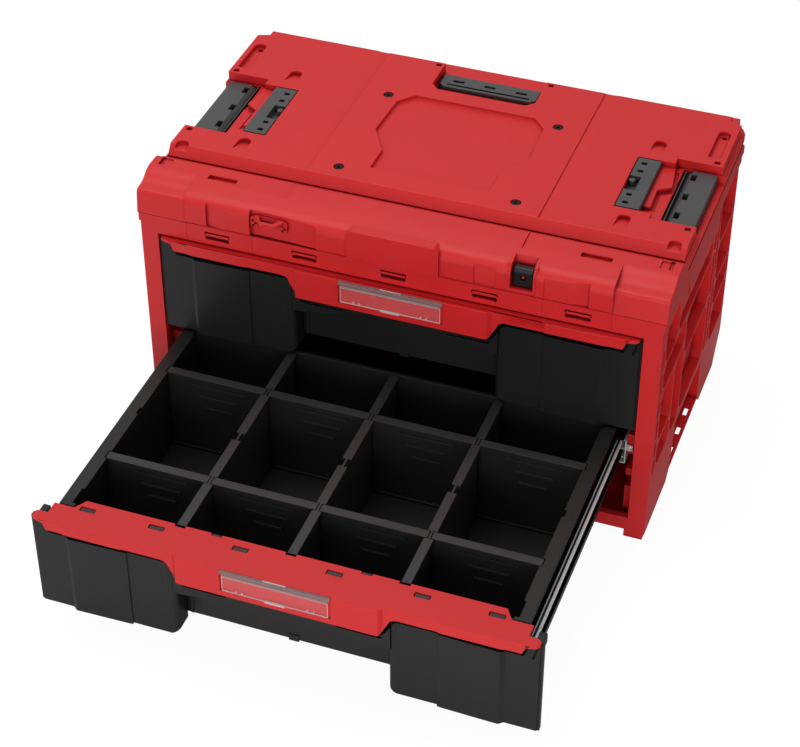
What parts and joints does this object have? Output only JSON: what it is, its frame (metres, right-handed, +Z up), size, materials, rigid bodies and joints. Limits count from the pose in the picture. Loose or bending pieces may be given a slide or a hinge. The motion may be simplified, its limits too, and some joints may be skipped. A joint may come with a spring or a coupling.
{
  "type": "toolbox with drawers",
  "caption": "Red plastic tool chest with two drawers on telescopic slides, the lower one open with a grid of dividers, and a stacking deck on top.",
  "frame": {"origin": "on the surface that the chest stands on, under the middle of the whole chest as it stands with its lower drawer fully open", "axes": "+Z up, +X to the chest's right as seen from the front, and the drawers open towards -Y"},
  "size_m": [0.588, 0.7026, 0.3364],
  "materials": {
    "red_plastic": "red moulded polypropylene with a fine grain",
    "black_plastic": "black moulded polypropylene with a fine grain",
    "grey_plastic": "dark grey moulded polyamide",
    "dark_plastic": "dark grey moulded plastic",
    "clear_plastic": "clear moulded plastic",
    "zinc_steel": "bright zinc-plated steel",
    "black_steel": "black coated steel"
  },
  "bodies": {
    "case": {"deck_plate": "red_plastic", "deck_screw_1": "black_steel", "deck_screw_2": "black_steel", "deck_screw_3": "black_steel", "deck_screw_4": "black_steel", "floor_panel": "red_plastic", "front_band": "red_plastic", "front_frame": "red_plastic", "inner_connector_left": "grey_plastic", "inner_connector_right": "grey_plastic", "lid_frame": "red_plastic", "lower_cabinet_member_left": "zinc_steel", "lower_cabinet_member_right": "zinc_steel", "outer_connector_left": "grey_plastic", "outer_connector_right": "grey_plastic", "padlock_eye": "red_plastic", "rear_connector": "grey_plastic", "rear_wall": "red_plastic", "side_wall_left": "red_plastic", "side_wall_right": "red_plastic", "upper_cabinet_member_left": "zinc_steel", "upper_cabinet_member_right": "zinc_steel"},
    "lock": {"lock_button": "dark_plastic"},
    "lower_drawer": {"lower_cross_divider_1_1": "black_plastic", "lower_cross_divider_1_2": "black_plastic", "lower_cross_divider_1_3": "black_plastic", "lower_cross_divider_1_4": "black_plastic", "lower_cross_divider_2_1": "black_plastic", "lower_cross_divider_2_2": "black_plastic", "lower_cross_divider_2_3": "black_plastic", "lower_cross_divider_2_4": "black_plastic", "lower_drawer_member_left": "zinc_steel", "lower_drawer_member_right": "zinc_steel", "lower_front_panel": "black_plastic", "lower_long_divider_1": "black_plastic", "lower_long_divider_2": "black_plastic", "lower_long_divider_3": "black_plastic", "lower_tray": "black_plastic", "lower_trim": "red_plastic"},
    "lower_cover": {"lower_label_cover": "clear_plastic"},
    "lower_middle_left": {"lower_middle_member_left": "zinc_steel"},
    "lower_middle_right": {"lower_middle_member_right": "zinc_steel"},
    "upper_drawer": {"upper_drawer_member_left": "zinc_steel", "upper_drawer_member_right": "zinc_steel", "upper_front_panel": "black_plastic", "upper_long_divider_1": "black_plastic", "upper_long_divider_2": "black_plastic", "upper_long_divider_3": "black_plastic", "upper_tray": "black_plastic", "upper_trim": "red_plastic"},
    "upper_cover": {"upper_label_cover": "clear_plastic"},
    "upper_middle_left": {"upper_middle_member_left": "zinc_steel"},
    "upper_middle_right": {"upper_middle_member_right": "zinc_steel"}
  },
  "joints": [
    {"name": "lower_drawer_slide", "type": "slide", "parent": "case", "child": "lower_drawer", "axis": [0, -1, 0], "range_m": [-0.328, 0]},
    {"name": "lower_middle_left_slide", "type": "slide", "parent": "case", "child": "lower_middle_left", "axis": [0, -1, 0], "range_m": [-0.164, 0]},
    {"name": "lower_middle_right_slide", "type": "slide", "parent": "case", "child": "lower_middle_right", "axis": [0, -1, 0], "range_m": [-0.164, 0]},
    {"name": "lower_cover_hinge", "type": "hinge", "parent": "lower_drawer", "child": "lower_cover", "pos_m": [0, -0.3497, 0.1434], "axis": [-1, 0, 0], "range_deg": [0, 95]},
    {"name": "upper_drawer_slide", "type": "slide", "parent": "case", "child": "upper_drawer", "axis": [0, -1, 0], "range_m": [0, 0.328]},
    {"name": "upper_middle_left_slide", "type": "slide", "parent": "case", "child": "upper_middle_left", "axis": [0, -1, 0], "range_m": [0, 0.164]},
    {"name": "upper_middle_right_slide", "type": "slide", "parent": "case", "child": "upper_middle_right", "axis": [0, -1, 0], "range_m": [0, 0.164]},
    {"name": "upper_cover_hinge", "type": "hinge", "parent": "upper_drawer", "child": "upper_cover", "pos_m": [0, -0.0217, 0.2666], "axis": [-1, 0, 0], "range_deg": [0, 95]},
    {"name": "lock_button_push", "type": "slide", "parent": "case", "child": "lock", "axis": [0, 1, 0], "range_m": [0, 0.004], "stiffness_N_per_m": 400, "springref_m": -0.002}
  ],
  "couplings": [
    {"joint": "lower_middle_left_slide", "follows": "lower_drawer_slide", "ratio": 0.5},
    {"joint": "lower_middle_right_slide", "follows": "lower_drawer_slide", "ratio": 0.5},
    {"joint": "upper_middle_left_slide", "follows": "upper_drawer_slide", "ratio": 0.5},
    {"joint": "upper_middle_right_slide", "follows": "upper_drawer_slide", "ratio": 0.5}
  ]
}
